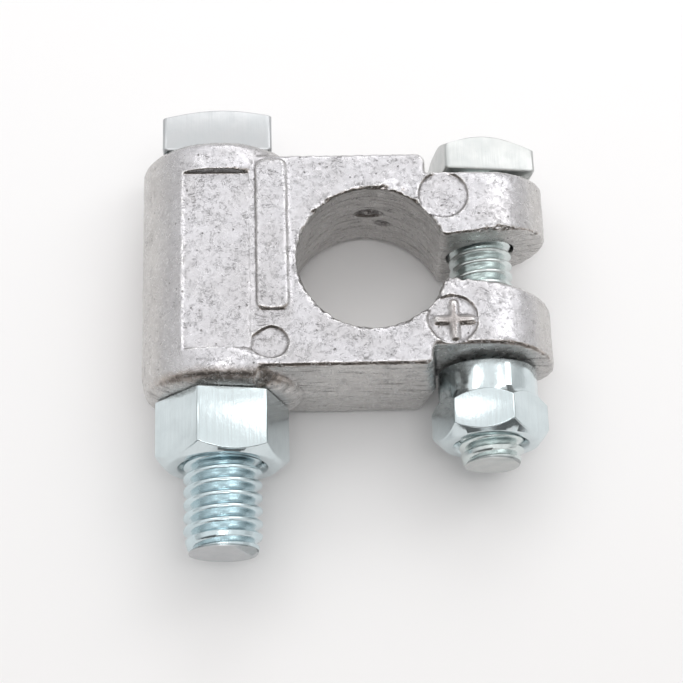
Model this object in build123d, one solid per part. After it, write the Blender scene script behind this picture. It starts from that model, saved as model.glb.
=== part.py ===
"""Battery terminal clamp: a die-cast post clamp, its cable stud, its pinch bolt and their nuts.

Frame: millimetres, origin on the axis of the battery post at the casting's underside.
+X runs from the cable stud to the pinch ears, +Y from the nuts to the bolt heads, +Z up.
Both bolts lie along Y, at half the height of the block.
"""

from build123d import *
import math
import os

# ---- casting: block round the battery post ----
BLOCK_HEIGHT = 17.46
BLOCK_DEPTH = 29.3  # at the parting plane, half way up
BLOCK_REACH = 7.7  # post axis to the step beside the ears, at the parting plane
BLOCK_CORNER_RADIUS = 1.0
BLOCK_EDGE_RADIUS = 0.5
DRAFT_ANGLE = 6.0  # every outer wall leans in by this much, above and below the parting plane

# ---- casting: tapered socket for the post, wider at the underside ----
POST_TOP_RADIUS = 8.98
POST_TAPER = 1 / 18  # growth of the radius for each unit of depth
SOCKET_RIM_CHAMFER = 0.3

# ---- casting: barrel that carries the cable stud ----
BOSS_WALL = 5.02  # round the stud
BOSS_STAND = 0.85  # of each end, out of the block at the parting plane
BOSS_RIM_CHAMFER = 0.8
STUD_DISTANCE = 18.34  # post axis to stud axis
FIELD_DEPTH = 0.15  # floor of the flat field on the barrel, below the block's top face
FIELD_LENGTH = 22.3
FIELD_WIDTH = 8.5

# ---- casting: pinch ears and the split between them ----
EAR_SPREAD = 24.4  # over the outer faces of both ears, at the parting plane
EAR_REACH = 22.2  # post axis to the tip of the ears
EAR_RIM_CHAMFER = 0.4
PINCH_DISTANCE = 14.0  # post axis to pinch bolt axis
SPLIT_WIDTH = 5.2  # at the top face, where the split leaves the socket
SPLIT_FLARE = 7.0  # degrees that each side opens towards the tip
SPLIT_CORNER_RADIUS = 0.8

# ---- casting: raised pad and sunk discs of the top face ----
PAD_LENGTH = 19.2
PAD_WIDTH = 3.5
PAD_HEIGHT = 0.45
PAD_CORNER_RADIUS = 1.0
PAD_EDGE_CHAMFER = 0.2
PAD_CENTRE_X = -11.6
PAD_CENTRE_Y = 3.45
DISC_DEPTH = 0.4
EAR_DISC_RADIUS = 3.05
EAR_DISC_X = 8.93
EAR_DISC_Y = 8.15
BLOCK_DISC_RADIUS = 2.0
BLOCK_DISC_X = -12.2
BLOCK_DISC_Y = -10.6

# ---- cable stud: a square head bolt and its hexagon nut ----
STUD_RADIUS = 4.73
STUD_PITCH = 25.4 / 16
STUD_LENGTH = 49.5  # under the head
STUD_HEAD_ACROSS_FLATS = 13.5
STUD_HEAD_HEIGHT = 5.5
STUD_HEAD_OFFSET = -0.35  # the forged head sits a little off the shank's axis, along X
STUD_HEAD_TURN = 1.0  # degrees about Y
STUD_HEAD_CROWN_ANGLE = 18.0  # slope of the chamfer round the head, in degrees
STUD_NUT_ACROSS_FLATS = 14.0
STUD_NUT_HEIGHT = 8.0
STUD_NUT_TURN = 11.0

# ---- pinch bolt: a square head bolt and its shouldered hexagon nut ----
PINCH_RADIUS = 3.93
PINCH_PITCH = 25.4 / 18
PINCH_LENGTH = 36.7
PINCH_HEAD_ACROSS_FLATS = 11.45
PINCH_HEAD_HEIGHT = 4.6
PINCH_HEAD_GAP = 0.65  # the bolt isn't drawn up: its head stands off the rear ear
PINCH_HEAD_OFFSET = 0.55
PINCH_HEAD_TURN = 8.0
PINCH_HEAD_CROWN_ANGLE = 32.0
PINCH_NUT_ACROSS_FLATS = 12.0
PINCH_NUT_HEIGHT = 5.7
PINCH_NUT_TURN = -3.0
SHOULDER_RADIUS = 6.05
SHOULDER_LENGTH = 3.4

# ---- shared by both bolts ----
HOLE_CLEARANCE = 0.3  # bolt to casting, on the radius
THREAD_CLEARANCE = 0.05  # bolt to nut, on the radius
HEAD_EDGE_RADIUS = 0.4
NUT_CROWN_ANGLE = 30.0
NUT_MOUTH_DEPTH = 0.5
POINT_CHAMFER = 0.8  # at the tip of each bolt
POINT_LAND = 0.1  # plain band between the chamfer and the thread
THREAD_DEPTH = 0.6  # of the pitch
THREAD_RUN_ON = 1  # turns that the thread runs on out of sight

# ---- sizes that follow ----
AXIS_HEIGHT = BLOCK_HEIGHT / 2
STUD_AXIS_X = -STUD_DISTANCE
BOSS_RADIUS = STUD_RADIUS + BOSS_WALL
BOSS_END = BLOCK_DEPTH / 2 + BOSS_STAND
BOSS_LENGTH = 2 * BOSS_END
EAR_FACE = EAR_SPREAD / 2
EAR_CENTRE_X = EAR_REACH - BLOCK_HEIGHT / 2
POST_BOTTOM_RADIUS = POST_TOP_RADIUS + POST_TAPER * BLOCK_HEIGHT
TAPER_ANGLE = math.degrees(math.atan(POST_TAPER))
NEAR = 0.1  # slack where an edge is picked by its place


def along_y(axis_x, start_y, shape):
    """Stand a shape built upwards from Z = 0 on a bolt's axis, from start_y towards the heads (+Y)."""
    return Pos(axis_x, start_y, AXIS_HEIGHT) * Rot(-90, 0, 0) * shape


def both_halves(upper):
    """A drafted shape above the parting plane, joined to its mirror image below it."""
    return upper + mirror(upper, Plane.XY.offset(AXIS_HEIGHT))


def drafted(upper, walls):
    """Lean these walls in from the parting plane."""
    return draft(walls, Plane.XY.offset(AXIS_HEIGHT), DRAFT_ANGLE)


def block():
    """The block, from the stud's axis to the step beside the ears, with soft cast edges."""
    length = STUD_DISTANCE + BLOCK_REACH
    corner = (BLOCK_REACH, 0, AXIS_HEIGHT)
    place = (Align.MAX, Align.CENTER, Align.MIN)
    upper = Pos(corner) * Box(length, BLOCK_DEPTH, AXIS_HEIGHT, align=place)
    walls = upper.faces().filter_by(Axis.Y) + upper.faces().sort_by(Axis.X)[-1:]
    upper = drafted(upper, walls)
    steep = [edge for edge in upper.edges() if edge.bounding_box().size.Z > AXIS_HEIGHT / 2]
    upper = fillet([edge for edge in steep if edge.center().X > 0], BLOCK_CORNER_RADIUS)
    top = upper.faces().sort_by(Axis.Z)[-1]
    rims = [edge for edge in top.edges() if edge.center().X > STUD_AXIS_X + BOSS_RADIUS / 2]
    return both_halves(fillet(rims, BLOCK_EDGE_RADIUS))


def boss():
    """The barrel for the stud, across the end of the block and proud of it above and below."""
    barrel = along_y(STUD_AXIS_X, 0, Cylinder(BOSS_RADIUS, BOSS_LENGTH))
    return chamfer(barrel.edges().filter_by(GeomType.CIRCLE), BOSS_RIM_CHAMFER)


def ears():
    """Both ears in one piece, before the split: a bar with a full round end."""
    height = BLOCK_HEIGHT / 2
    outline = Pos(EAR_CENTRE_X / 2, AXIS_HEIGHT + height / 2) * Rectangle(EAR_CENTRE_X, height)
    tip = Circle(height) & Pos(height / 2, height / 2) * Rectangle(height, height)
    outline += Pos(EAR_CENTRE_X, AXIS_HEIGHT) * tip
    upper = extrude(Plane.XZ * outline, EAR_FACE, both=True)
    upper = drafted(upper, upper.faces().filter_by(Axis.Y))
    rims = [edge for edge in upper.edges() if is_ear_rim(edge)]
    return both_halves(chamfer(rims, EAR_RIM_CHAMFER))


def is_ear_rim(edge):
    """True for the edges round an ear's outer face, but not inside the block or at the parting plane."""
    middle = edge.center()
    outside = abs(middle.Y) > EAR_FACE / 2 and middle.X > NEAR
    return outside and middle.Z > AXIS_HEIGHT + NEAR


def post_core():
    """The tapered plug that leaves the socket for the battery post."""
    return Pos(0, 0, AXIS_HEIGHT) * Cone(POST_BOTTOM_RADIUS, POST_TOP_RADIUS, BLOCK_HEIGHT)


def split_core():
    """The wedge that leaves the split: it flares towards the tip, and downwards at the post's taper."""
    mouth_x = math.sqrt(POST_TOP_RADIUS**2 - (SPLIT_WIDTH / 2) ** 2)
    start_x = POST_TOP_RADIUS - SPLIT_WIDTH / 2
    end_x = EAR_REACH + SPLIT_WIDTH
    flare = math.tan(math.radians(SPLIT_FLARE))
    near = SPLIT_WIDTH / 2 - flare * (mouth_x - start_x)
    far = SPLIT_WIDTH / 2 + flare * (end_x - mouth_x)
    plan = make_face(Polyline((start_x, -near), (end_x, -far), (end_x, far), (start_x, near), close=True))
    wedge = extrude(plan, BLOCK_HEIGHT)
    sides = [face for face in wedge.faces() if abs(face.normal_at().Y) > 0.5]
    return draft(sides, Plane.XY.offset(BLOCK_HEIGHT), TAPER_ANGLE)


def cored(body):
    """Cut the socket and the split, round the corners between them and break the rims of both."""
    body = body - post_core() - split_core()
    corners = [edge for edge in body.edges() if is_split_corner(edge)]
    body = fillet(corners, SPLIT_CORNER_RADIUS)
    top_rim = [edge for edge in body.edges().filter_by(GeomType.CIRCLE) if is_socket_rim(edge)]
    return chamfer(top_rim, SOCKET_RIM_CHAMFER)


def is_split_corner(edge):
    """True for the two steep edges where the split's sides meet the socket's wall."""
    middle = edge.center()
    steep = edge.bounding_box().size.Z > AXIS_HEIGHT
    reach = math.hypot(middle.X, middle.Y)
    return steep and middle.X > 0 and POST_TOP_RADIUS < reach < POST_BOTTOM_RADIUS


def is_socket_rim(edge):
    """True for the socket's rim in the top face. The rest of the rim follows it without a kink."""
    return abs(edge.radius - POST_TOP_RADIUS) < NEAR and edge.center().Z > BLOCK_HEIGHT - NEAR


def pad():
    """The raised pad beside the barrel, with rounded corners and a bevelled top edge."""
    plan = Pos(PAD_CENTRE_X, PAD_CENTRE_Y, AXIS_HEIGHT) * RectangleRounded(
        PAD_WIDTH, PAD_LENGTH, PAD_CORNER_RADIUS
    )
    plate = extrude(plan, AXIS_HEIGHT + PAD_HEIGHT)
    return chamfer(plate.faces().sort_by(Axis.Z)[-1].edges(), PAD_EDGE_CHAMFER)


def disc(centre_x, centre_y, radius):
    """The cut for a shallow round recess in the top face."""
    floor = BLOCK_HEIGHT - DISC_DEPTH
    cut = Cylinder(radius, BLOCK_HEIGHT, align=(Align.CENTER, Align.CENTER, Align.MIN))
    return Pos(centre_x, centre_y, floor) * cut


def field():
    """The cut that leaves a long flat field along the crest of the barrel."""
    floor = BLOCK_HEIGHT - FIELD_DEPTH
    cut = Box(FIELD_WIDTH, FIELD_LENGTH, BOSS_RADIUS, align=(Align.CENTER, Align.CENTER, Align.MIN))
    return Pos(STUD_AXIS_X, 0, floor) * cut


def bolt_hole(axis_x, bolt_radius):
    """The cut for a bolt that runs right through along Y."""
    return along_y(axis_x, 0, Cylinder(bolt_radius + HOLE_CLEARANCE, 2 * BOSS_LENGTH))


def clamp_body():
    """The whole casting: block, barrel and ears in one piece."""
    body = cored(block() + ears() + boss())
    body = body - field() + pad()
    for side in (-1, 1):
        body -= disc(EAR_DISC_X, side * EAR_DISC_Y, EAR_DISC_RADIUS)
    body -= disc(BLOCK_DISC_X, BLOCK_DISC_Y, BLOCK_DISC_RADIUS)
    body -= bolt_hole(STUD_AXIS_X, STUD_RADIUS)
    body -= bolt_hole(PINCH_DISTANCE, PINCH_RADIUS)
    return body


def crown(inner_radius, height, slope):
    """A solid of revolution up to height, whose top falls away at slope degrees outside inner_radius."""
    reach = 2 * inner_radius
    drop = (reach - inner_radius) * math.tan(math.radians(slope))
    profile = Polyline(
        (0, 0), (reach, 0), (reach, max(height - drop, 0)), (inner_radius, height), (0, height), close=True
    )
    return revolve(Plane.XZ * make_face(profile), Axis.Z)


def thread(radius, pitch, start, turns):
    """The outline of a thread from Z = start upwards, as plain rings: a root and a crest a turn."""
    root = radius - THREAD_DEPTH * pitch
    outline = [(radius, start)]
    for turn in range(turns):
        outline.append((root, start + (turn + 0.5) * pitch))
        outline.append((radius, start + (turn + 1) * pitch))
    return outline


def tip_thread(radius, length, pitch, nut_seat):
    """The thread between a bolt's tip and its nut, whose outer end lies nut_seat above the tip."""
    start = POINT_CHAMFER + POINT_LAND
    turns = math.floor((nut_seat - start) / pitch) + THREAD_RUN_ON
    return thread(radius, pitch, start - length, turns)


def shank(radius, length, threads):
    """A bolt's shank, from its seat at Z = 0 down to its tip at -length. threads are outlines, tip first."""
    profile = [(0, 0), (0, -length), (radius - POINT_CHAMFER, -length), (radius, POINT_CHAMFER - length)]
    for outline in threads:
        profile += outline
    profile.append((radius, 0))
    return revolve(Plane.XZ * make_face(Polyline(*profile, close=True)), Axis.Z)


def square_head(across_flats, height, crown_angle, offset, turn):
    """A square bolt head, upwards from Z = 0, with its outer end chamfered to the flats."""
    square = Box(across_flats, across_flats, height, align=(Align.CENTER, Align.CENTER, Align.MIN))
    square = fillet(square.edges().filter_by(Axis.Z), HEAD_EDGE_RADIUS)
    return Pos(offset, 0, 0) * Rot(0, 0, turn) * (square & crown(across_flats / 2, height, crown_angle))


def hexagon(across_flats, height):
    """A hexagon nut's outside, upwards from Z = 0, with both ends chamfered to the flats."""
    prism = extrude(RegularPolygon(across_flats / 2, 6, major_radius=False), height)
    upper = crown(across_flats / 2, height, NUT_CROWN_ANGLE)
    lower = Pos(0, 0, height) * Rot(180, 0, 0) * upper
    return prism & upper & lower


def nut_bore(bolt_radius, height):
    """The cut for a nut's thread: a plain bore with a countersunk mouth at each end."""
    radius = bolt_radius + THREAD_CLEARANCE
    mouth_radius = radius + NUT_MOUTH_DEPTH
    mouth = Cone(mouth_radius, radius, NUT_MOUTH_DEPTH, align=(Align.CENTER, Align.CENTER, Align.MIN))
    bore = Cylinder(radius, height, align=(Align.CENTER, Align.CENTER, Align.MIN))
    return bore + mouth + Pos(0, 0, height) * Rot(180, 0, 0) * mouth


def stud_bolt():
    """The cable stud: its head seats on the back end of the barrel."""
    head = square_head(
        STUD_HEAD_ACROSS_FLATS, STUD_HEAD_HEIGHT, STUD_HEAD_CROWN_ANGLE, STUD_HEAD_OFFSET, STUD_HEAD_TURN
    )
    nut_seat = STUD_LENGTH - BOSS_LENGTH - STUD_NUT_HEIGHT
    threads = [tip_thread(STUD_RADIUS, STUD_LENGTH, STUD_PITCH, nut_seat)]
    return along_y(STUD_AXIS_X, BOSS_END, shank(STUD_RADIUS, STUD_LENGTH, threads) + head)


def pinch_bolt():
    """The bolt that closes the ears: its head lies behind the rear ear, beside the block's step."""
    head = square_head(
        PINCH_HEAD_ACROSS_FLATS, PINCH_HEAD_HEIGHT, PINCH_HEAD_CROWN_ANGLE, PINCH_HEAD_OFFSET, PINCH_HEAD_TURN
    )
    seat = EAR_FACE + PINCH_HEAD_GAP
    nut_seat = PINCH_LENGTH - seat - EAR_FACE - SHOULDER_LENGTH - PINCH_NUT_HEIGHT
    gap_turns = math.floor(SPLIT_WIDTH / PINCH_PITCH) + 2 * THREAD_RUN_ON
    gap_thread = thread(PINCH_RADIUS, PINCH_PITCH, -seat - gap_turns * PINCH_PITCH / 2, gap_turns)
    threads = [tip_thread(PINCH_RADIUS, PINCH_LENGTH, PINCH_PITCH, nut_seat), gap_thread]
    return along_y(PINCH_DISTANCE, seat, shank(PINCH_RADIUS, PINCH_LENGTH, threads) + head)


def stud_nut():
    """The stud's nut, seated on the front end of the barrel."""
    shape = hexagon(STUD_NUT_ACROSS_FLATS, STUD_NUT_HEIGHT) - nut_bore(STUD_RADIUS, STUD_NUT_HEIGHT)
    return along_y(STUD_AXIS_X, -BOSS_END - STUD_NUT_HEIGHT, Rot(0, 0, STUD_NUT_TURN) * shape)


def pinch_nut():
    """The pinch bolt's nut: its round shoulder seats on the front ear and clears the block's step."""
    height = PINCH_NUT_HEIGHT + SHOULDER_LENGTH
    shoulder = Cylinder(SHOULDER_RADIUS, height, align=(Align.CENTER, Align.CENTER, Align.MIN))
    shape = hexagon(PINCH_NUT_ACROSS_FLATS, PINCH_NUT_HEIGHT) + shoulder - nut_bore(PINCH_RADIUS, height)
    return along_y(PINCH_DISTANCE, -EAR_FACE - height, Rot(0, 0, PINCH_NUT_TURN) * shape)


PIECES = {
    "clamp_body": clamp_body,
    "stud_bolt": stud_bolt,
    "stud_nut": stud_nut,
    "pinch_bolt": pinch_bolt,
    "pinch_nut": pinch_nut,
}

if __name__ == "__main__":
    os.makedirs("parts", exist_ok=True)
    for name, make in PIECES.items():
        piece = make()
        piece.label = name
        export_step(piece, f"parts/{name}.step")
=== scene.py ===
"""Looks of the battery terminal clamp: a cast body with zinc-plated bolts and nuts, on a white table.

Lengths are in metres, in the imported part's frame: both bolts' heads face +Y, and the table lies just
below Z = 0.
"""

import math

import bmesh
import bpy
import numpy as np
from mathutils import Matrix, Vector, noise


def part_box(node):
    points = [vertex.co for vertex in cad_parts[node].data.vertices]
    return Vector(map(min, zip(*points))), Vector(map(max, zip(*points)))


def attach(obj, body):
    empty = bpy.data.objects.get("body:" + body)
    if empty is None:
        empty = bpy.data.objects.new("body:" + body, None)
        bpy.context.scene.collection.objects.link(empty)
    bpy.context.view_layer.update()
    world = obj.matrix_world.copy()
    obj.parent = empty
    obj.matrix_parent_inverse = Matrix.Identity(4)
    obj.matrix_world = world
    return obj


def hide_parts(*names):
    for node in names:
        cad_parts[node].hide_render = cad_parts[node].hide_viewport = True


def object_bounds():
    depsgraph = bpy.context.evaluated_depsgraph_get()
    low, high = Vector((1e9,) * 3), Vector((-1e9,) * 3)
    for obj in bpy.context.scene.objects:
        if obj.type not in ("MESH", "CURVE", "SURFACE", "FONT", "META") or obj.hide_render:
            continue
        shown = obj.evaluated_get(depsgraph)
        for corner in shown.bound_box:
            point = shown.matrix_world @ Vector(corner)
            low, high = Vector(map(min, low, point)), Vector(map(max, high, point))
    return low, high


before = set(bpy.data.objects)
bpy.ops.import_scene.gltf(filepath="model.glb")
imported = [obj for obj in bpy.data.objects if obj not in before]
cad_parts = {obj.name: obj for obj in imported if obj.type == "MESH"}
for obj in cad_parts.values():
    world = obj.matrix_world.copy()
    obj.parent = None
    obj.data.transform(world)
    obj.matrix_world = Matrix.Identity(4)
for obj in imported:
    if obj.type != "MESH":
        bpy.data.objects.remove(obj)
cad_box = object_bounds()

MM = 0.001

# Casting
VOXEL = 0.16 * MM
CASTING_TRIANGLES = 190_000
EDGE_SOFTENING = 2
RIM_SOFTENING = 26
RIM_BAND = 1.7 * MM
BURR_BAND = 0.7 * MM
SOCKET_RADIUS = 9.1 * MM
TOP_FACE = 17.46 * MM
SIGN_ARM = 2.65 * MM
SIGN_RADIUS = 0.6 * MM
SIGN_CENTRE = (9.09 * MM, -8.24 * MM)
SIGN_BASE = 16.98 * MM
SIGN_FLOOR = 17.2 * MM
BLOCK_HALF = 14.45 * MM
BLOCK_END = 8.0 * MM
FRONT_EDGE_SOFTENING = 3
EDGE_FULL = 1.2
BARREL_RADIUS = 9.75 * MM
FRONT_RIM_LENGTH = 3.9 * MM
FRONT_RIM_DROP = 1.4 * MM
FRONT_RIM_TOP_DROP = 0.7 * MM

EDGE_WEAR = 0.08
RIM_WEAR, RIM_SINK = 0.22, 0.05
MARK_WEAR = 0.5
SKIN_SINK = 0.02
SKIN_WAVES = ((0.35, 0.06), (1.1, 0.03), (2.6, 0.018))
FRONT_EDGE = -14.15 * MM
FRONT_EDGE_CHAMFER = 0.75 * MM
FRONT_EDGE_BAND = 0.9 * MM
SIGN_HEIGHT = 0.3 * MM
# Marks deeper than this, the blow-holes, are given painted shade in the material.
PAINTED_SHADE_DEPTH = 0.2
# Marks on the casting in mm: middle, reach along X, Y and Z, depth, and how rough. The first two are
# blow-holes, then come a burr on the socket's rim, a nick, and torn patches at the edges of the split.
MARKS = (
    ((0.2, 9.1, 9.3), (1.9, 1.6, 1.4), 0.55, 0.5),
    ((2.0, 8.9, 6.1), (1.2, 1.6, 1.2), 0.3, 0.5),
    ((2.7, 9.2, 17.3), (2.2, 0.9, 0.8), -0.05, 0.6),
    ((15.3, -5.4, 17.3), (1.0, 1.1, 1.2), 0.05, 0.35),
    ((10.2, -2.4, 17.3), (2.2, 1.9, 1.6), 0.05, 0.7),
    ((16.2, 3.3, 17.2), (3.2, 1.0, 1.3), 0.12, 0.8),
    ((20.6, 3.6, 14.0), (1.2, 1.0, 2.2), 0.1, 0.8),
)
# Outlines on the casting in mm: middle, half size, slide and growth along X and Y. They are the barrel's
# field, the long pad, the block's disc and the front ear's disc, moved to their places in the photograph.
OUTLINE_ABOVE = 15.8 * MM
OUTLINE_FADE = 1.3 * MM
OUTLINES = (
    ((-18.34, 0.0), (4.4, 11.3), (-0.37, 0.0), (0.953, 1.031)),
    ((-11.6, 3.45), (1.75, 9.6), (-0.4, -0.25), (1.057, 1.026)),
    ((-12.2, -10.6), (1.7, 1.7), (-0.05, -0.15), (1.0, 1.0)),
    ((8.93, -8.15), (2.9, 2.9), (0.4, 0.0), (1.0, 1.0)),
)

# Threads and hardware
STUD_RADIUS = 4.73 * MM
STUD_PITCH = 25.4 / 16 * MM
STUD_HEAD_HEIGHT = 5.5 * MM
STUD_HEAD_FLATS = 13.5 * MM
STUD_HEAD_TURN = math.radians(1.0)
STUD_HEAD_OFFSET = -0.35 * MM
STUD_HEAD_SLOPE = math.radians(18)
STUD_HEAD_LEAN = 0.03
STUD_TIP_RADIUS = 4.1 * MM
STUD_NUT_FLATS = 14.2 * MM
STUD_NUT_TURN = math.radians(41.0)
PINCH_RADIUS = 3.93 * MM
PINCH_PITCH = 25.4 / 18 * MM
PINCH_HEAD_HEIGHT = 4.6 * MM
PINCH_HEAD_FLATS = 11.45 * MM
PINCH_HEAD_TURN = math.radians(8.0)
PINCH_HEAD_OFFSET = 0.55 * MM
PINCH_HEAD_SLOPE = math.radians(32)
PINCH_HEAD_LEAN = -0.05
PINCH_TIP_RADIUS = 3.3 * MM
PINCH_NUT_FLATS = 12.3 * MM
PINCH_NUT_TURN = math.radians(17.5)
SHOULDER_RADIUS = 6.05 * MM
SHOULDER_LENGTH = 3.4 * MM
THREAD_DEPTH = 0.6
THREAD_CLEARANCE = 0.05 * MM
STUD_NUT_SLOPES = (math.radians(37), math.radians(3))
STUD_NUT_INSET = 0.38 * MM
PINCH_NUT_SLOPES = (math.radians(45), math.radians(45))
PINCH_NUT_INSET = 0.35 * MM
EDGE_RADIUS = 0.16 * MM
HEAD_CORNER_RADIUS = 0.45 * MM
HEAD_SEAT_EDGE = 0.35 * MM
HEAD_CROWN_INSET = 0.2 * MM
NUT_CORNER_RADIUS = 0.22 * MM
NUT_MOUTH = 0.5 * MM
NUT_MOUTH_DEPTH = 1.0 * MM
SHOULDER_EDGE = 0.25 * MM
THREAD_STEPS = 96
THREAD_POINTS = 10
THREAD_START = 0.2
WELD = 0.002 * MM
SHARP_EDGE = 32

# Camera, as the photograph was taken
CAMERA_PLACE = (-11.919 * MM, -84.901 * MM, 213.171 * MM)
CAMERA_LEAN = math.radians(20.828)
CAMERA_SWING = math.radians(6.079)
CAMERA_ROLL = math.radians(4.693)
LENS_MM = 93.74
SENSOR_MM = 36.0

# Plating: tint, duller tint of heads and ends, roughness and height of the brushing in mm
NUT_TINT = (0.70, 0.78, 0.80, 1)
STUD_TINT, STUD_DULL = (0.64, 0.75, 0.785, 1), (0.55, 0.56, 0.57, 1)
PINCH_TINT, PINCH_DULL = (0.70, 0.76, 0.75, 1), (0.60, 0.61, 0.60, 1)
NUT_FINISH, STUD_FINISH, PINCH_FINISH = (0.13, 0.006), (0.14, 0.02), (0.16, 0.02)

# Table: colour for light, and colours shown at the near and far end; the darker near end is a painted
# falloff of light
TABLE_LIT = (0.80, 0.79, 0.79, 1)
TABLE_NEAR, TABLE_FAR = (0.90, 0.885, 0.88, 1), (0.98, 0.97, 0.97, 1)
TABLE_SIZE = 6

# Lamps: name, place, width, height and power in watts
LAMPS = (
    ("back_box", (0.08, 0.44, 0.40), 0.36, 0.24, 0.35),
    ("top_box", (0.02, -0.12, 0.48), 0.26, 0.08, 0.24),
    ("right_box", (0.28, 0.18, 0.38), 0.16, 0.3, 0.24),
    ("left_box", (-0.20, 0.17, 0.42), 0.12, 0.2, 0.095),
)

# Room
ROOM_WALLS = 0.62
ROOM_DARK = 0.14
CEILING_LIGHT = 1.5
WALL_LIGHT = 0.4


def middle(node):
    """The middle of a CAD node's box."""
    low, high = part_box(node)
    return (low + high) / 2


# ---------------------------------------------------------------- meshes


def new_object(name, vertices, faces):
    """A mesh object with these corners, welded and closed, with its normals outwards."""
    mesh = bpy.data.meshes.new(name)
    mesh.from_pydata([tuple(v) for v in vertices], [], faces)
    bm = bmesh.new()
    bm.from_mesh(mesh)
    bmesh.ops.remove_doubles(bm, verts=bm.verts, dist=WELD)
    open_edges = [edge for edge in bm.edges if edge.is_boundary]
    if open_edges:
        bmesh.ops.holes_fill(bm, edges=open_edges)
    bmesh.ops.recalc_face_normals(bm, faces=bm.faces)
    bm.to_mesh(mesh)
    bm.free()
    obj = bpy.data.objects.new(name, mesh)
    bpy.context.scene.collection.objects.link(obj)
    return obj


def shade(obj):
    """Smooth shading that breaks at sharp edges."""
    bm = bmesh.new()
    bm.from_mesh(obj.data)
    limit = math.radians(SHARP_EDGE)
    for face in bm.faces:
        face.smooth = True
    for edge in bm.edges:
        edge.smooth = edge.calc_face_angle(0) < limit
    bm.to_mesh(obj.data)
    bm.free()


def join(objects):
    """One object made of several, in the first one's name."""
    bm = bmesh.new()
    for obj in objects:
        bm.from_mesh(obj.data)
    bm.to_mesh(objects[0].data)
    bm.free()
    for obj in objects[1:]:
        bpy.data.objects.remove(obj)
    return objects[0]


def round_axis(axis, radius, turn, along):
    """Points at these radii and turns round a bolt's axis, which runs along +Y."""
    x = axis.x + radius * np.cos(turn)
    z = axis.z - radius * np.sin(turn)
    return np.stack([x, along + 0 * turn, z], axis=-1)


def sleeve(name, axis, turns, rings, closed):
    """A skin through rings of (radius, place along Y), each given at every turn.

    closed joins the last ring to the first.
    """
    points = np.stack([round_axis(axis, radius, turns, along) for radius, along in rings])
    rows, steps = points.shape[:2]
    faces = []
    for row in range(rows if closed else rows - 1):
        above = (row + 1) % rows
        low, high = row * steps, above * steps
        for step in range(steps):
            beside = (step + 1) % steps
            faces.append((low + step, low + beside, high + beside, high + step))
    return new_object(name, points.reshape(-1, 3), faces)


def flats_radius(turns, sides, across_flats, corner_radius):
    """How far a prism with rounded corners reaches from its axis at each turn."""
    apothem = across_flats / 2
    half = math.pi / sides
    off_flat = np.abs((turns + half) % (2 * half) - half)
    flat = apothem / np.cos(off_flat)
    centre = (apothem - corner_radius) / math.cos(half)
    off_corner = half - off_flat
    inside = np.clip(corner_radius**2 - (centre * np.sin(off_corner)) ** 2, 0, None)
    arc = centre * np.cos(off_corner) + np.sqrt(inside)
    tangent = math.atan((apothem - corner_radius) * math.tan(half) / apothem)
    return np.where(off_flat > tangent, arc, flat)


def prism_turns(sides):
    """Turns round a prism, close together at its corners."""
    base = np.linspace(0, 2 * math.pi, 121)[:-1]
    near = np.radians(np.linspace(-4, 4, 9))
    corners = [(2 * side + 1) * math.pi / sides + near for side in range(sides)]
    every = np.concatenate([base, *corners]) % (2 * math.pi)
    return np.unique(np.round(every, 4))


def thread_height(phase):
    """Height of a worn, plated thread, from 0 at its root to 1 at its crest."""
    places = (0.0, 0.12, 0.26, 0.42, 0.5, 0.58, 0.74, 0.88, 1.0)
    heights = (1.0, 0.95, 0.62, 0.12, 0.0, 0.12, 0.62, 0.95, 1.0)
    return np.interp(phase % 1.0, places, heights)


def threaded_shank(name, axis, radius, tip_radius, pitch, tip_y, seat_y):
    """A right-hand thread from the bolt's tip to its head. Its rows of points follow the helix."""
    steps, points_per_turn, phase = THREAD_STEPS, THREAD_POINTS, THREAD_START
    depth = THREAD_DEPTH * pitch
    turn_count = int((seat_y - tip_y) / pitch) + 3
    rows = turn_count * points_per_turn
    row, step = np.meshgrid(np.arange(rows), np.arange(steps), indexing="ij")
    along = tip_y + pitch * (row / points_per_turn + step / steps - 1.0 + phase)
    along = np.clip(along, tip_y, seat_y)
    turns = 2 * math.pi * step / steps
    height = thread_height((along - tip_y) / pitch - step / steps - phase)
    run_out = np.clip((seat_y - along) / (2 * pitch), 0, 1)
    reach = radius - depth * (1 - height) * run_out
    cone = tip_radius + (along - tip_y) * (radius - depth * 0.4 - tip_radius) / (0.55 * pitch)
    reach = np.minimum(reach, cone)
    points = round_axis(axis, reach, turns, along)
    faces = []
    for row in range(rows - points_per_turn - 1):
        low, high = row * steps, (row + 1) * steps
        for step in range(steps - 1):
            faces.append((low + step, low + step + 1, high + step + 1, high + step))
        next_turn = (row + points_per_turn) * steps
        faces.append((low + steps - 1, next_turn, next_turn + steps, high + steps - 1))
    return new_object(name, points.reshape(-1, 3), faces)


def rounded_edge(reach, along, inward, upward, steps=3):
    """Rings round a small rounded edge: from inside the edge to past it."""
    rings = []
    for i in range(steps + 1):
        a = math.pi / 2 * i / steps
        rings.append((reach - inward * (1 - math.sin(a)), along + upward * (1 - math.cos(a))))
    return rings


def last_edge(reach, along, size):
    """Rings round a small rounded edge at a piece's +Y end."""
    return [(r, 2 * along - h) for r, h in reversed(rounded_edge(reach, along, size, size))]


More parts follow.
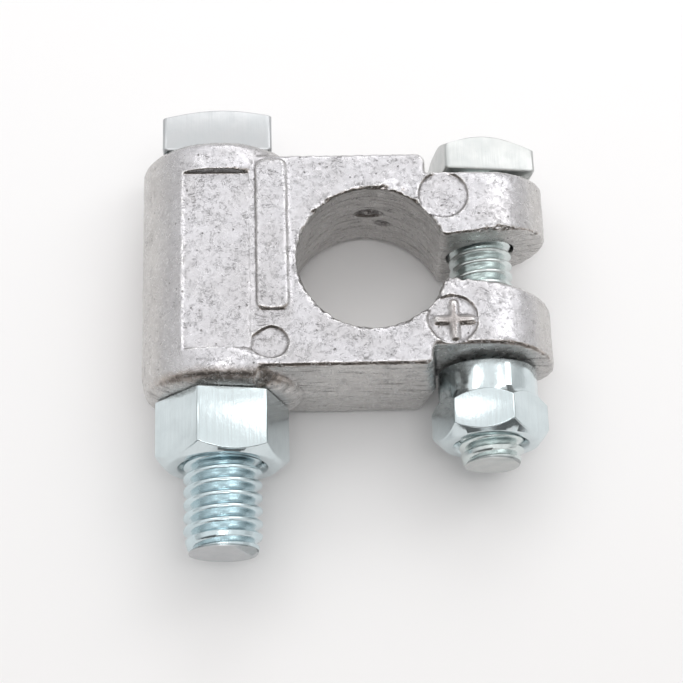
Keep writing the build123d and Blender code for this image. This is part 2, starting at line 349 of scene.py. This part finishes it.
def square_head(name, axis, seat_y, height, flats, slope, offset, turn, lean):
    """A square bolt head whose outer end is chamfered to the flats.

    It leans: its height grows by lean per unit of X.
    """
    turns = prism_turns(4)
    reach = flats_radius(turns, 4, flats, HEAD_CORNER_RADIUS)
    top = seat_y + height
    fall = np.maximum(reach - flats / 2, 0) * math.tan(slope)
    zero = 0 * reach
    rings = [(zero, seat_y + zero), (reach * 0.5, seat_y + zero)]
    rings += rounded_edge(reach, seat_y + zero, HEAD_SEAT_EDGE, HEAD_SEAT_EDGE)
    rings += last_edge(reach, top - fall, EDGE_RADIUS)
    rings += [(np.minimum(reach, flats / 2 - HEAD_CROWN_INSET), top + zero), (zero, top + zero)]
    centre = Vector((axis.x + offset, 0, axis.z))
    head = sleeve(name, centre, turns + turn, rings, closed=False)
    for vertex in head.data.vertices:
        share = (vertex.co.y - seat_y) / height
        vertex.co.y = min(vertex.co.y + share * lean * (vertex.co.x - centre.x), top)
    return head


def hexagon_nut(
    name, axis, front_y, height, flats, turn, bolt_radius, slopes, inset, shoulder=None
):
    """A hexagon nut with a countersunk mouth.

    Its ends are chamfered at these slopes, front and seat, from inset inside the flats. shoulder is its
    round end's radius and length.
    """
    turns = prism_turns(6)
    reach = flats_radius(turns, 6, flats, NUT_CORNER_RADIUS)
    zero = 0 * reach
    bore = bolt_radius + THREAD_CLEARANCE
    mouth = bore + NUT_MOUTH
    flat_end = flats / 2 - inset
    end_y = front_y + height
    if shoulder:
        reach = np.maximum(reach, shoulder[0])
    front = front_y + (reach - flat_end) * math.tan(slopes[0])
    back = end_y - (reach - flat_end) * math.tan(slopes[1])
    mouth_rings = [
        (bore, front_y + NUT_MOUTH_DEPTH),
        (mouth, front_y + 0.15 * MM),
        (mouth + 0.15 * MM, front_y),
        (flat_end - 0.1 * MM, front_y),
        (flat_end + 0.05 * MM, front_y + 0.05 * MM),
    ]
    rings = [(radius + zero, along + zero) for radius, along in mouth_rings]
    rings += rounded_edge(reach, front, EDGE_RADIUS, EDGE_RADIUS)
    rings += last_edge(reach, back, EDGE_RADIUS)
    if shoulder:
        radius, length = shoulder
        rings += [(radius + zero, end_y + zero)]
        end_y += length
        rings += last_edge(radius + zero, end_y + zero, SHOULDER_EDGE)
    else:
        rings += [(flat_end + zero, end_y + zero)]
    rings += [(mouth + zero, end_y + zero), (bore + zero, end_y - 0.5 * MM + zero)]
    return sleeve(name, axis, turns + turn, rings, closed=True)


def rod(start, end, radius):
    """A round-ended rod, for the raised sign on the casting."""
    bm = bmesh.new()
    start, end = Vector(start), Vector(end)
    for place in (start, end):
        ball = Matrix.Translation(place)
        bmesh.ops.create_uvsphere(bm, u_segments=24, v_segments=12, radius=radius, matrix=ball)
    line = end - start
    turn = line.to_track_quat("Z", "Y").to_matrix().to_4x4()
    place = Matrix.Translation((start + end) / 2) @ turn
    bmesh.ops.create_cone(
        bm,
        cap_ends=True,
        segments=24,
        radius1=radius,
        radius2=radius,
        depth=line.length,
        matrix=place,
    )
    mesh = bpy.data.meshes.new("rod")
    bm.to_mesh(mesh)
    bm.free()
    obj = bpy.data.objects.new("rod", mesh)
    bpy.context.scene.collection.objects.link(obj)
    return obj


def plus_sign():
    """The raised plus on the front ear."""
    x, y = SIGN_CENTRE
    left, right = x - SIGN_ARM + SIGN_RADIUS, x + SIGN_ARM - SIGN_RADIUS
    front, rear = y - SIGN_ARM + SIGN_RADIUS, y + SIGN_ARM - SIGN_RADIUS
    across = rod((left, y, SIGN_BASE), (right, y, SIGN_BASE), SIGN_RADIUS)
    along = rod((x, front, SIGN_BASE), (x, rear, SIGN_BASE), SIGN_RADIUS)
    return [across, along]


def outlines_fitted(obj):
    """Slide the skin along itself so that each outline lies and measures as in the photograph."""
    mesh = obj.data
    places, _ = arrays(mesh)
    upper = places[:, 2] > OUTLINE_ABOVE
    for (x, y), (half_x, half_y), (slide_x, slide_y), (grow_x, grow_y) in OUTLINES:
        off_x, off_y = places[:, 0] - x * MM, places[:, 1] - y * MM
        past_x = np.maximum(np.abs(off_x) - half_x * MM, 0)
        past_y = np.maximum(np.abs(off_y) - half_y * MM, 0)
        share = np.clip(1 - np.hypot(past_x, past_y) / OUTLINE_FADE, 0, 1) ** 2 * upper
        places[:, 0] += share * (slide_x * MM + off_x * (grow_x - 1))
        places[:, 1] += share * (slide_y * MM + off_y * (grow_y - 1))
    put_back(mesh, places)


def applied(obj):
    """The object with its modifiers made real."""
    graph = bpy.context.evaluated_depsgraph_get()
    mesh = bpy.data.meshes.new_from_object(obj.evaluated_get(graph))
    obj.modifiers.clear()
    obj.data = mesh


def arrays(mesh):
    """Each vertex's place and normal, as two arrays."""
    count = len(mesh.vertices)
    places, normals = np.empty(count * 3), np.empty(count * 3)
    mesh.vertices.foreach_get("co", places)
    mesh.vertices.foreach_get("normal", normals)
    return places.reshape(-1, 3), normals.reshape(-1, 3)


def put_back(mesh, places):
    """Give the mesh's vertices these places."""
    mesh.vertices.foreach_set("co", places.reshape(-1))
    mesh.update()


def front_chamfer(obj):
    """Break the block's upper front edge at 45 degrees."""
    mesh = obj.data
    places, _ = arrays(mesh)
    block = (places[:, 0] > stud_axis.x + STUD_RADIUS) & (places[:, 0] < BLOCK_END)
    past = np.maximum(FRONT_EDGE + FRONT_EDGE_CHAMFER - places[:, 1], 0) * block
    places[:, 2] = np.where(past > 0, np.minimum(places[:, 2], TOP_FACE - past), places[:, 2])
    put_back(mesh, places)


def front_rim(obj):
    """Round the barrel's front end, more along its length than across it."""
    mesh = obj.data
    places, _ = arrays(mesh)
    along = np.clip((-places[:, 1] - stud_seat + FRONT_RIM_LENGTH) / FRONT_RIM_LENGTH, 0, 1)
    off_x, off_z = places[:, 0] - stud_axis.x, places[:, 2] - stud_axis.z
    reach = np.hypot(off_x, off_z)
    upper = np.clip(off_z / np.maximum(reach, MM), 0, 1)
    drop = (FRONT_RIM_DROP + FRONT_RIM_TOP_DROP * upper) * (1 - np.sqrt(1 - along**2))
    outer = np.clip((reach - BARREL_RADIUS + 2.5 * FRONT_RIM_DROP) / (1.5 * FRONT_RIM_DROP), 0, 1)
    barrel = np.clip((stud_axis.x + BARREL_RADIUS - places[:, 0]) / FRONT_RIM_LENGTH, 0, 1)
    factor = 1 - drop * outer * barrel / np.maximum(reach, MM)
    places[:, 0] = stud_axis.x + off_x * factor
    places[:, 2] = stud_axis.z + off_z * factor
    put_back(mesh, places)


def soft_rims(obj):
    """Round the rims of the barrel and the block's upper front edge, where the die was worn."""
    places, _ = arrays(obj.data)
    ends = np.abs(np.abs(places[:, 1]) - stud_seat) < RIM_BAND
    barrel = places[:, 0] < stud_axis.x + SOCKET_RADIUS
    reach = np.hypot(places[:, 0] - stud_axis.x, places[:, 2] - stud_axis.z)
    away = reach > STUD_RADIUS + 2 * RIM_BAND
    group = obj.vertex_groups.new(name="rims")
    group.add(np.nonzero(ends & barrel & away)[0].tolist(), 1.0, "REPLACE")
    top = places[:, 2] > TOP_FACE - FRONT_EDGE_BAND
    front = (places[:, 1] < -BLOCK_HALF + FRONT_EDGE_BAND) & (places[:, 0] < BLOCK_END)
    edge = obj.vertex_groups.new(name="front_edge")
    edge.add(np.nonzero(top & front & ~(ends & barrel))[0].tolist(), 1.0, "REPLACE")
    for name, rounds in (("rims", RIM_SOFTENING), ("front_edge", FRONT_EDGE_SOFTENING)):
        smooth = obj.modifiers.new(name, "SMOOTH")
        smooth.factor = 0.5
        smooth.iterations = rounds
        smooth.vertex_group = name
    applied(obj)


def marked(places):
    """How much painted shade of a deep mark each place has, how deep it is there and how rough, all in mm.
    """
    share, depth, rough = np.zeros((3, len(places)))
    for centre, reach, deep, uneven in MARKS:
        off = (places / MM - centre) / reach
        here = np.sqrt(np.clip(1 - (off**2).sum(axis=1), 0, 1))
        share = np.maximum(share, here * (deep > PAINTED_SHADE_DEPTH))
        depth += deep * here
        rough = np.maximum(rough, uneven * here)
    return share, depth, rough


def roughened(obj):
    """Push the casting's skin in and out a little, most of all at its edges and marks."""
    mesh = obj.data
    places, normals = arrays(mesh)
    edge = np.clip(bends(mesh) / EDGE_FULL, 0, 1)
    reach = np.abs(np.hypot(places[:, 0], places[:, 1]) - SOCKET_RADIUS)
    rim = np.clip(1 - np.hypot(reach, places[:, 2] - TOP_FACE) / BURR_BAND, 0, 1)
    _, depth, rough = marked(places)
    push = np.empty(len(places))
    for i, place in enumerate(places / MM):
        p = Vector(place)
        push[i] = sum(height * noise.noise(p * scale) for scale, height in SKIN_WAVES)
        if edge[i] > 0:
            push[i] += EDGE_WEAR * edge[i] * (noise.noise(p * 1.3 + Vector((5, 1, 8))) - 0.3)
        if rim[i] > 0:
            push[i] += rim[i] * (RIM_WEAR * noise.noise(p * 1.6 + Vector((7, 3, 1))) - RIM_SINK)
        if rough[i] > 0:
            push[i] += rough[i] * MARK_WEAR * noise.noise(p * 1.5 + Vector((2, 9, 4)))
    put_back(mesh, places + normals * ((push - depth - SKIN_SINK) * MM)[:, None])


def kept_in_box(mesh):
    """Draw back what stands out of the CAD body's box."""
    places, _ = arrays(mesh)
    low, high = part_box("clamp_body")
    put_back(mesh, np.clip(places, np.array(low), np.array(high)))


def bends(mesh):
    """How sharply the skin bends at each vertex, in 1/mm: above 0 at an edge, below 0 in a crease."""
    places, normals = arrays(mesh)
    ends = np.empty(len(mesh.edges) * 2, dtype=np.int64)
    mesh.edges.foreach_get("vertices", ends)
    first, second = ends.reshape(-1, 2).T
    span = places[second] - places[first]
    square = np.maximum((span**2).sum(axis=1), 1e-12)
    bend = np.zeros(len(places))
    count = np.zeros(len(places))
    for one, way in ((first, -1), (second, 1)):
        np.add.at(bend, one, way * 2 * (normals[one] * span).sum(axis=1) / square)
        np.add.at(count, one, 1)
    bend /= np.maximum(count, 1)
    total, share = bend.copy(), np.ones(len(places))
    for one, other in ((first, second), (second, first)):
        np.add.at(total, one, bend[other])
        np.add.at(share, one, 1)
    return total / share * MM


def tell_material(mesh):
    """Keep each vertex's bend and marks for the material, and how far it is up the sign."""
    places, _ = arrays(mesh)
    off = np.abs(places[:, :2] - SIGN_CENTRE)
    on_arm = (off.min(axis=1) < SIGN_RADIUS) & (off.max(axis=1) < SIGN_ARM)
    raised = np.clip((places[:, 2] - SIGN_FLOOR) / SIGN_HEIGHT, 0, 1) * on_arm
    # mark holds where the deep marks, the blow-holes, get painted shade.
    values = {"bend": bends(mesh), "mark": marked(places)[0], "sign": raised}
    for name, value in values.items():
        mesh.attributes.new(name, "FLOAT", "POINT").data.foreach_set("value", value)


def casting():
    """The cast body: the CAD body with softened edges, the raised sign and a cast skin."""
    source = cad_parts["clamp_body"]
    obj = bpy.data.objects.new("cast_body", source.data.copy())
    bpy.context.scene.collection.objects.link(obj)
    obj = join([obj, *plus_sign()])
    remesh = obj.modifiers.new("skin", "REMESH")
    remesh.mode = "VOXEL"
    remesh.voxel_size = VOXEL
    smooth = obj.modifiers.new("soft_edges", "SMOOTH")
    smooth.factor = 0.5
    smooth.iterations = EDGE_SOFTENING
    applied(obj)
    outlines_fitted(obj)
    front_chamfer(obj)
    front_rim(obj)
    soft_rims(obj)
    roughened(obj)
    triangles = 2 * len(obj.data.polygons)
    decimate = obj.modifiers.new("lighter", "DECIMATE")
    decimate.ratio = min(1.0, CASTING_TRIANGLES / triangles)
    applied(obj)
    kept_in_box(obj.data)
    tell_material(obj.data)
    for polygon in obj.data.polygons:
        polygon.use_smooth = True
    return obj


# ---------------------------------------------------------------- materials


class Shader:
    """A node tree of a material or the world, written one node at a time."""

    def __init__(self, owner, last="Principled BSDF"):
        owner.use_nodes = True
        self.owner = owner
        self.tree = owner.node_tree
        self.last = self.tree.nodes[last]

    def add(self, kind, settings=None, **inputs):
        """A node with these settings. An input is a constant or another node's output."""
        node = self.tree.nodes.new(kind)
        for key, value in (settings or {}).items():
            setattr(node, key, value)
        for key, value in inputs.items():
            self.feed(node, key.replace("_", " "), value)
        return node

    def feed(self, node, key, value):
        """Set or link one input, by its name or its number."""
        socket = node.inputs[int(key)] if key.isdigit() else node.inputs[key]
        if isinstance(value, bpy.types.NodeSocket):
            self.tree.links.new(value, socket)
        else:
            socket.default_value = value

    def places(self, x=1.0, y=1.0, z=1.0):
        """The object's own coordinates in millimetres, stretched along an axis."""
        coordinates = self.add("ShaderNodeTexCoord").outputs["Object"]
        scaled = self.add("ShaderNodeMapping", Vector=coordinates, Scale=(x / MM, y / MM, z / MM))
        return scaled.outputs[0]

    def noise(self, places, scale, detail=4.0, roughness=0.55, distortion=0.0):
        """Noise from 0 to 1."""
        node = self.add(
            "ShaderNodeTexNoise",
            Vector=places,
            Scale=scale,
            Detail=detail,
            Roughness=roughness,
            Distortion=distortion,
        )
        return node.outputs["Fac"]

    def cells(self, places, scale):
        """The distance to the nearest of many scattered points, in units of their spacing."""
        node = self.add("ShaderNodeTexVoronoi", Vector=places, Scale=scale, Randomness=1.0)
        return node.outputs["Distance"]

    def lines(self, value, width):
        """1 where the value crosses a half, falling to 0 at this width beside it."""
        off = self.math("ABSOLUTE", self.math("SUBTRACT", value, 0.5), 0.0)
        return self.band(off, 0.0, width, 1.0, 0.0)

    def band(self, value, low, high, start=0.0, end=1.0):
        """The value's stretch from low to high, spread from start to end and held outside it."""
        node = self.add("ShaderNodeMapRange", {"clamp": True, "interpolation_type": "SMOOTHSTEP"})
        keys = ("Value", "From Min", "From Max", "To Min", "To Max")
        for key, given in zip(keys, (value, low, high, start, end)):
            self.feed(node, key, given)
        return node.outputs[0]

    def math(self, operation, first, second):
        """Two values put together."""
        node = self.add("ShaderNodeMath", {"operation": operation})
        self.feed(node, "0", first)
        self.feed(node, "1", second)
        return node.outputs[0]

    def product(self, *values):
        """Several values multiplied."""
        result = values[0]
        for value in values[1:]:
            result = self.math("MULTIPLY", result, value)
        return result

    def mix(self, share, first, second):
        """Two colours mixed."""
        node = self.add("ShaderNodeMix", {"data_type": "RGBA"})
        self.feed(node, "0", share)
        self.feed(node, "6", first)
        self.feed(node, "7", second)
        return node.outputs[2]

    def layers(self, colour, *coats):
        """A colour under coats of (share, colour), the last on top."""
        for share, coat in coats:
            colour = self.mix(share, colour, coat)
        return colour

    def bump(self, height, depth, normal=None):
        """A bump of this depth in metres."""
        node = self.add("ShaderNodeBump", Height=height, Distance=depth, Strength=1.0)
        if normal is not None:
            self.feed(node, "Normal", normal)
        return node.outputs[0]

    def attribute(self, name):
        """A value that the mesh keeps at each vertex."""
        return self.add("ShaderNodeAttribute", {"attribute_name": name}).outputs["Fac"]

    def finish(self, **inputs):
        """Feed the last node, and give what the tree belongs to."""
        for key, value in inputs.items():
            self.feed(self.last, key.replace("_", " "), value)
        return self.owner


def cast_metal():
    """Die-cast metal: pale grey, faintly violet, flecked, stained, pitted and scratched, with painted
    light and shade.
    """
    s = Shader(bpy.data.materials.new("casting"))
    skin = s.places()
    cloud = s.noise(skin, 0.13, 3.0, 0.55, 0.4)
    mottle = s.noise(skin, 0.75, 5.0, 0.68, 0.9)
    stain = s.noise(s.places(1.15, 0.9, 1.05), 0.36, 6.0, 0.75, 0.8)
    fine = s.noise(skin, 2.1, 4.0, 0.6, 0.5)
    grain = s.noise(skin, 5.0, 4.0, 0.65)
    fleck = s.lines(s.noise(skin, 0.9, 4.0, 0.6, 2.6), 0.022)
    fleck = s.product(fleck, s.band(s.noise(skin, 1.3, 3.0, 0.6), 0.46, 0.56))
    groove = s.lines(s.noise(s.places(0.5, 1.2, 1.2), 1.1, 4.0, 0.6, 1.8), 0.014)
    groove = s.product(groove, s.band(stain, 0.5, 0.62))
    pit = s.band(s.cells(skin, 0.9), 0.07, 0.14, 1.0, 0.0)
    pit = s.product(pit, s.band(s.noise(skin, 0.5, 2.0, 0.5), 0.52, 0.58))

    # Edges are worn bright, and creases get painted shade. What leans to the front gets a painted warm
    # reflection, and painted shade where it is steep.
    normals = s.add("ShaderNodeTexCoord").outputs["Normal"]
    facing = s.add("ShaderNodeSeparateXYZ", Vector=normals).outputs
    upward, forward = facing["Z"], facing["Y"]
    painted_front_sheen = s.product(s.band(forward, -0.6, -0.25, 1.0, 0.0), s.band(upward, 0.3, 0.7))
    # shade_band is painted shade on steep front-leaning faces.
    shade_band = s.product(s.band(forward, -0.7, -0.5, 1.0, 0.0), s.band(upward, 0.3, 0.5))
    bend = s.attribute("bend")
    worn = s.product(s.band(bend, 0.45, 1.6), s.band(fine, 0.4, 0.58, 0.1, 1.0))
    worn = s.product(worn, s.band(shade_band, 0.0, 0.6, 1.0, 0.1))
    # Painted shade in creases, where the skin bends inward.
    crease = s.product(s.band(bend, -1.0, -0.2, 1.0, 0.0), s.band(mottle, 0.35, 0.55, 0.45, 1.0))
    scrape = s.band(s.noise(s.places(0.22, 0.22, 2.4), 1.0, 5.0, 0.7, 0.25), 0.54, 0.64)
    scrape = s.product(scrape, s.band(upward, 0.2, 0.5, 1.0, 0.0))
    # Painted shade in the blow-holes.
    mark = s.band(s.attribute("mark"), 0.15, 0.6)

    # Faces that look up are painted lighter and more violet than the sides: painted light from above.
    colour = s.layers(
        s.mix(s.band(upward, 0.55, 0.98), (0.61, 0.595, 0.58, 1), (0.66, 0.65, 0.675, 1)),
        (s.band(cloud, 0.38, 0.64, 0.0, 0.3), (0.46, 0.44, 0.435, 1)),
        (s.band(mottle, 0.52, 0.74, 0.0, 0.15), (0.40, 0.385, 0.40, 1)),
        (s.band(mottle, 0.28, 0.44, 0.12, 0.0), (0.74, 0.73, 0.76, 1)),
        # Painted warm reflection, then painted shade, on what leans to the front.
        (s.product(painted_front_sheen, 0.7), (0.54, 0.45, 0.38, 1)),
        (s.product(shade_band, s.band(mottle, 0.3, 0.6, 0.55, 0.95)), (0.20, 0.175, 0.155, 1)),
        (s.band(stain, 0.58, 0.72, 0.0, 0.5), (0.30, 0.285, 0.27, 1)),
        (s.band(fine, 0.54, 0.74, 0.0, 0.2), (0.32, 0.31, 0.32, 1)),
        (s.band(fine, 0.3, 0.44, 0.12, 0.0), (0.80, 0.79, 0.81, 1)),
        (s.band(grain, 0.42, 0.75, 0.0, 0.15), (0.30, 0.29, 0.30, 1)),
        (s.product(scrape, 0.6), (0.20, 0.19, 0.18, 1)),
        (s.product(groove, 0.75), (0.16, 0.15, 0.15, 1)),
        (s.product(pit, 0.7), (0.16, 0.15, 0.14, 1)),
        (s.product(fleck, 0.85), (0.97, 0.96, 0.97, 1)),
        # Painted shade in the blow-holes.
        (s.product(mark, s.band(fine, 0.42, 0.56, 0.1, 0.75)), (0.14, 0.13, 0.13, 1)),
        (s.product(s.attribute("sign"), 0.7), (0.34, 0.30, 0.28, 1)),
        # Painted shade in the creases.
        (s.product(crease, 0.62), (0.16, 0.15, 0.15, 1)),
        (s.product(worn, 0.7), (0.95, 0.94, 0.93, 1)),
    )
    relief = s.product(mottle, 0.04)
    bumps = ((fine, 0.025), (fleck, 0.03), (groove, -0.05), (scrape, -0.03), (pit, -0.08), (grain, 0.016))
    for value, height in bumps:
        relief = s.math("ADD", relief, s.product(value, height))
    rough = s.band(mottle, 0.3, 0.7, 0.22, 0.38)
    rough = s.math("SUBTRACT", rough, s.product(s.math("MAXIMUM", worn, painted_front_sheen), 0.08))
    return s.finish(Base_Color=colour, Metallic=0.94, Roughness=rough, Normal=s.bump(relief, MM))


def zinc(name, tint, finish, dull_tint=None, shank=(0.0, 0.0)):
    """Bright zinc plate, faintly brushed along the bolts, of this roughness and height of brushing.

    Past the shank's ends along Y it is duller, in dull_tint, with a ring of painted shade round the bolt's
    tip.
    """
    rough, brushed = finish
    s = Shader(bpy.data.materials.new(name))
    smear = s.noise(s.places(), 0.5, 3.0, 0.5, 0.3)
    roughness = s.band(smear, 0.3, 0.7, rough, rough + 0.08)
    colour = tint
    if dull_tint:
        along = s.add("ShaderNodeSeparateXYZ", Vector=s.places()).outputs["Y"]
        tip, seat = shank[0] / MM, shank[1] / MM
        head = s.band(along, seat - 0.05, seat + 0.05)
        end = s.band(along, tip + 0.02, tip + 0.12, 1.0, 0.0)
        plain = s.math("MAXIMUM", head, end)
        # A thin ring near the tip is painted dark: painted shade.
        inner = s.band(along, tip + 0.2, tip + 0.34, 1.0, 0.0)
        painted_tip_shade = s.product(s.band(along, tip + 0.03, tip + 0.1), inner)
        colour = s.layers(tint, (plain, dull_tint), (s.product(painted_tip_shade, 0.7), (0.16, 0.17, 0.17, 1)))
        roughness = s.math("ADD", roughness, s.product(plain, 0.18))
    speck = s.noise(s.places(), 2.6, 4.0, 0.7)
    lines = s.noise(s.places(3.0, 0.12, 3.0), 1.5, 3.0, 0.6)
    colour = s.layers(
        colour,
        (s.band(smear, 0.35, 0.7, 0.0, 0.12), (0.30, 0.36, 0.38, 1)),
        (s.band(speck, 0.62, 0.74, 0.0, 0.35), (0.42, 0.45, 0.46, 1)),
        (s.band(lines, 0.35, 0.7, 0.0, 0.16), (0.45, 0.48, 0.49, 1)),
    )
    dents = s.noise(s.places(), 0.9, 3.0, 0.5)
    normal = s.bump(dents, 0.02 * MM, s.bump(lines, brushed * MM))
    return s.finish(Base_Color=colour, Metallic=1.0, Roughness=roughness, Normal=normal)


def white_table():
    """White paper, a little whiter to the camera and in the metal than it lights the clamp, and painted
    darker towards the near end as a falloff of light.
    """
    s = Shader(bpy.data.materials.new("table"))
    path = s.add("ShaderNodeLightPath").outputs
    seen = s.math("MAXIMUM", path["Is Camera Ray"], path["Is Glossy Ray"])
    seen = s.math("MAXIMUM", seen, path["Is Transmission Ray"])
    # Painted shade: what the camera and the metal see grows darker towards the near end.
    along = s.add("ShaderNodeSeparateXYZ", Vector=s.places()).outputs["Y"]
    white = s.mix(s.band(along, -70.0, 60.0), TABLE_NEAR, TABLE_FAR)
    colour = s.mix(seen, TABLE_LIT, white)
    return s.finish(Base_Color=colour, Roughness=0.8)


# ---------------------------------------------------------------- pieces


def dress(obj, body, node, material):
    """Put a piece in its CAD node's place, on its body, with its finish."""
    obj.data.materials.clear()
    obj.data.materials.append(material)
    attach(obj, body)
    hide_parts(node)


stud_axis = middle("stud_nut")
pinch_axis = middle("pinch_nut")
stud_low, stud_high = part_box("stud_bolt")
pinch_low, pinch_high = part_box("pinch_bolt")
stud_nut_low, stud_nut_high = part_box("stud_nut")
pinch_nut_low, pinch_nut_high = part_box("pinch_nut")

stud_seat = stud_high.y - STUD_HEAD_HEIGHT
stud = join(
    [
        threaded_shank(
            "cable_stud", stud_axis, STUD_RADIUS, STUD_TIP_RADIUS, STUD_PITCH, stud_low.y, stud_seat
        ),
        square_head(
            "head", stud_axis, stud_seat, STUD_HEAD_HEIGHT, STUD_HEAD_FLATS, STUD_HEAD_SLOPE,
            STUD_HEAD_OFFSET, STUD_HEAD_TURN, STUD_HEAD_LEAN,
        ),
    ]
)
pinch_seat = pinch_high.y - PINCH_HEAD_HEIGHT
pinch = join(
    [
        threaded_shank(
            "pinch_screw", pinch_axis, PINCH_RADIUS, PINCH_TIP_RADIUS, PINCH_PITCH, pinch_low.y, pinch_seat
        ),
        square_head(
            "head", pinch_axis, pinch_seat, PINCH_HEAD_HEIGHT, PINCH_HEAD_FLATS, PINCH_HEAD_SLOPE,
            PINCH_HEAD_OFFSET, PINCH_HEAD_TURN, PINCH_HEAD_LEAN,
        ),
    ]
)
stud_nut_height = stud_nut_high.y - stud_nut_low.y
stud_nut = hexagon_nut(
    "cable_nut", stud_axis, stud_nut_low.y, stud_nut_height, STUD_NUT_FLATS, STUD_NUT_TURN,
    STUD_RADIUS, STUD_NUT_SLOPES, STUD_NUT_INSET,
)
pinch_nut_height = pinch_nut_high.y - pinch_nut_low.y - SHOULDER_LENGTH
pinch_nut = hexagon_nut(
    "clamping_nut", pinch_axis, pinch_nut_low.y, pinch_nut_height, PINCH_NUT_FLATS, PINCH_NUT_TURN,
    PINCH_RADIUS, PINCH_NUT_SLOPES, PINCH_NUT_INSET, shoulder=(SHOULDER_RADIUS, SHOULDER_LENGTH),
)
for obj in (stud, pinch, stud_nut, pinch_nut):
    shade(obj)

nut_zinc = zinc("nut_plating", NUT_TINT, NUT_FINISH)
stud_zinc = zinc("stud_plating", STUD_TINT, STUD_FINISH, STUD_DULL, (stud_low.y, stud_seat))
pinch_zinc = zinc("pinch_plating", PINCH_TINT, PINCH_FINISH, PINCH_DULL, (pinch_low.y, pinch_seat))
dress(casting(), "clamp", "clamp_body", cast_metal())
dress(stud, "cable_stud", "stud_bolt", stud_zinc)
dress(stud_nut, "cable_nut", "stud_nut", nut_zinc)
dress(pinch, "pinch_screw", "pinch_bolt", pinch_zinc)
dress(pinch_nut, "pinch_nut", "pinch_nut", nut_zinc)

# ---------------------------------------------------------------- stage


def stage():
    """The table under the clamp."""
    bpy.ops.mesh.primitive_plane_add(size=TABLE_SIZE, location=(0, 0, cad_box[0].z))
    floor = bpy.context.object
    floor.name = "table"
    floor.data.materials.append(white_table())


def softbox(name, place, width, height, power):
    """A rectangular lamp that faces the clamp."""
    lamp = bpy.data.lights.new(name, "AREA")
    lamp.shape = "RECTANGLE"
    lamp.size, lamp.size_y = width, height
    lamp.energy = power
    obj = bpy.data.objects.new(name, lamp)
    obj.location = place
    obj.rotation_euler = (-Vector(place)).to_track_quat("-Z", "Y").to_euler()
    bpy.context.scene.collection.objects.link(obj)


def grey(level):
    """A grey of this level."""
    return (level, level, level, 1.0)


def room():
    """A white room with a bright ceiling and dim walls, dark behind the photographer.

    The metal shows it as white, and so does the camera.
    """
    world = bpy.data.worlds.new("room")
    bpy.context.scene.world = world
    s = Shader(world, "Background")
    direction = s.add("ShaderNodeTexCoord").outputs["Generated"]
    way = s.add("ShaderNodeSeparateXYZ", Vector=direction).outputs
    walls = s.mix(s.band(way["Z"], 0.2, 0.6), grey(ROOM_WALLS), grey(1.0))
    below = s.band(way["Z"], 0.7, 0.92, 1.0, 0.0)
    front = s.product(s.band(way["Y"], -0.65, -0.35, 1.0, 0.0), below)
    shown = s.mix(front, walls, grey(ROOM_DARK))
    overhead = s.math("ADD", s.product(way["Z"], 0.96), s.product(way["Y"], 0.28))
    light = s.mix(s.band(overhead, 0.65, 0.95), grey(WALL_LIGHT), grey(CEILING_LIGHT))
    path = s.add("ShaderNodeLightPath").outputs
    shine = s.math("MAXIMUM", path["Is Glossy Ray"], path["Is Transmission Ray"])
    view = s.mix(shine, light, shown)
    view = s.mix(path["Is Camera Ray"], view, grey(1.0))
    s.finish(Color=view, Strength=1.0)


def camera():
    """The camera where the photograph was taken from."""
    back = Vector(
        (
            -math.sin(CAMERA_SWING) * math.sin(CAMERA_LEAN),
            -math.cos(CAMERA_SWING) * math.sin(CAMERA_LEAN),
            math.cos(CAMERA_LEAN),
        )
    )
    level = Vector((math.cos(CAMERA_SWING), -math.sin(CAMERA_SWING), 0))
    up = back.cross(level)
    right = math.cos(CAMERA_ROLL) * level + math.sin(CAMERA_ROLL) * up
    up = back.cross(right)
    data = bpy.data.cameras.new("camera")
    data.sensor_width = SENSOR_MM
    data.lens = LENS_MM
    data.clip_start = 0.01
    obj = bpy.data.objects.new("camera", data)
    turn = Matrix((right, up, back)).transposed().to_4x4()
    obj.matrix_world = Matrix.Translation(CAMERA_PLACE) @ turn
    bpy.context.scene.collection.objects.link(obj)
    bpy.context.scene.camera = obj


stage()
for settings in LAMPS:
    softbox(*settings)
room()
camera()
bpy.context.scene.view_settings.view_transform = "Standard"
